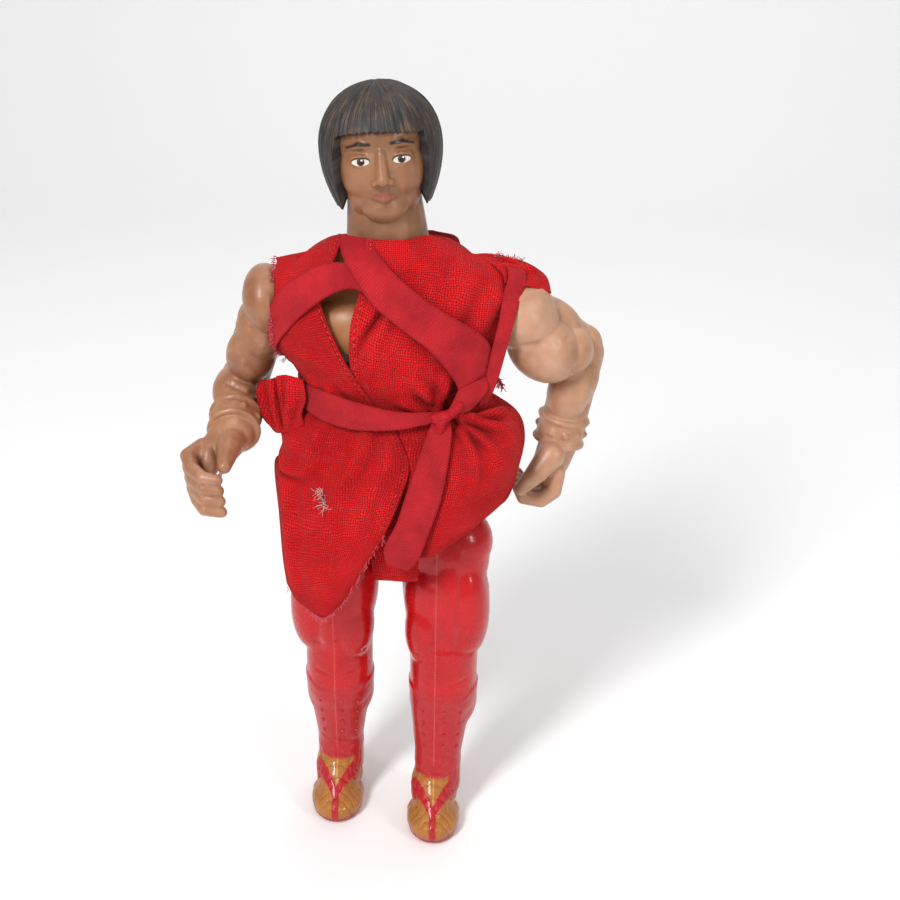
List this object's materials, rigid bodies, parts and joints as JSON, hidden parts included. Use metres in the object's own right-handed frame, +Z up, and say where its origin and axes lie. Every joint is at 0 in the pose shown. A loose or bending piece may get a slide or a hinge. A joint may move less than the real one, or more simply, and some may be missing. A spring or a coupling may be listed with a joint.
{
  "type": "action figure",
  "caption": "Muscular standing action figure with bowl-cut hair, bent arms with gripping hands and a tied wrap-over cloth costume over moulded boots.",
  "frame": {"origin": "centre of the figure's box, on the plane its soles stand on", "axes": "+X to the figure's left, -Y the way it faces, +Z up"},
  "size_m": [0.0832, 0.0422, 0.1649],
  "materials": {
    "head_vinyl": "satin soft vinyl, painted hair, brows, eyes and lips",
    "arm_plastic": "satin moulded plastic with faint seam",
    "torso_plastic": "satin moulded plastic",
    "leg_plastic": "glossy red plastic, painted tan sandalled feet",
    "cotton": "plain-weave red cotton, frayed at cut edges",
    "ribbon": "red satin ribbon with woven edges",
    "hook_steel": "plain bent wire",
    "band_rubber": "elastic band"
  },
  "bodies": {
    "pelvis": {"pelvis_block": "leg_plastic", "waist_post": "leg_plastic", "elastic_band": "band_rubber", "skirt_back": "cotton", "skirt_flap_right": "cotton", "skirt_flap_left": "cotton", "centre_tail": "cotton"},
    "torso": {"torso_front": "torso_plastic", "torso_back": "torso_plastic", "neck_post": "torso_plastic", "gi_front_right": "cotton", "gi_front_left": "cotton", "gi_back": "cotton", "sash_chest": "ribbon", "sash_armhole": "ribbon", "sash_shoulder": "ribbon", "sash_back": "ribbon", "sash_waist": "ribbon", "sash_knot": "ribbon", "sash_tail": "ribbon"},
    "head": {"head": "head_vinyl"},
    "right_arm": {"right_arm": "arm_plastic", "right_shoulder_peg": "arm_plastic"},
    "left_arm": {"left_arm": "arm_plastic", "left_shoulder_peg": "arm_plastic"},
    "right_leg": {"right_leg": "leg_plastic", "right_hip_hook": "hook_steel"},
    "left_leg": {"left_leg": "leg_plastic", "left_hip_hook": "hook_steel"}
  },
  "joints": [
    {"name": "waist_turn", "type": "hinge", "parent": "pelvis", "child": "torso", "pos_m": [-0.0026, 0.00684, 0.09885], "axis": [0, 0, 1], "range_deg": [-30, 30], "deforming": ["sash_tail"]},
    {"name": "neck_turn", "type": "hinge", "parent": "torso", "child": "head", "pos_m": [-0.0026, 0.00684, 0.13315], "axis": [0, 0, 1], "range_deg": [-60, 60]},
    {"name": "right_shoulder_turn", "type": "hinge", "parent": "torso", "child": "right_arm", "pos_m": [-0.0246, 0.00684, 0.121], "axis": [1, 0, 0], "range_deg": [-150, 60]},
    {"name": "left_shoulder_turn", "type": "hinge", "parent": "torso", "child": "left_arm", "pos_m": [0.0194, 0.00684, 0.121], "axis": [1, 0, 0], "range_deg": [-150, 60]},
    {"name": "right_hip_turn", "type": "hinge", "parent": "pelvis", "child": "right_leg", "pos_m": [-0.0146, 0.00684, 0.068], "axis": [1, 0, 0], "range_deg": [-70, 25], "deforming": ["skirt_flap_right", "skirt_back", "centre_tail", "elastic_band"]},
    {"name": "left_hip_turn", "type": "hinge", "parent": "pelvis", "child": "left_leg", "pos_m": [0.0094, 0.00684, 0.068], "axis": [1, 0, 0], "range_deg": [-70, 25], "deforming": ["skirt_flap_left"]}
  ]
}
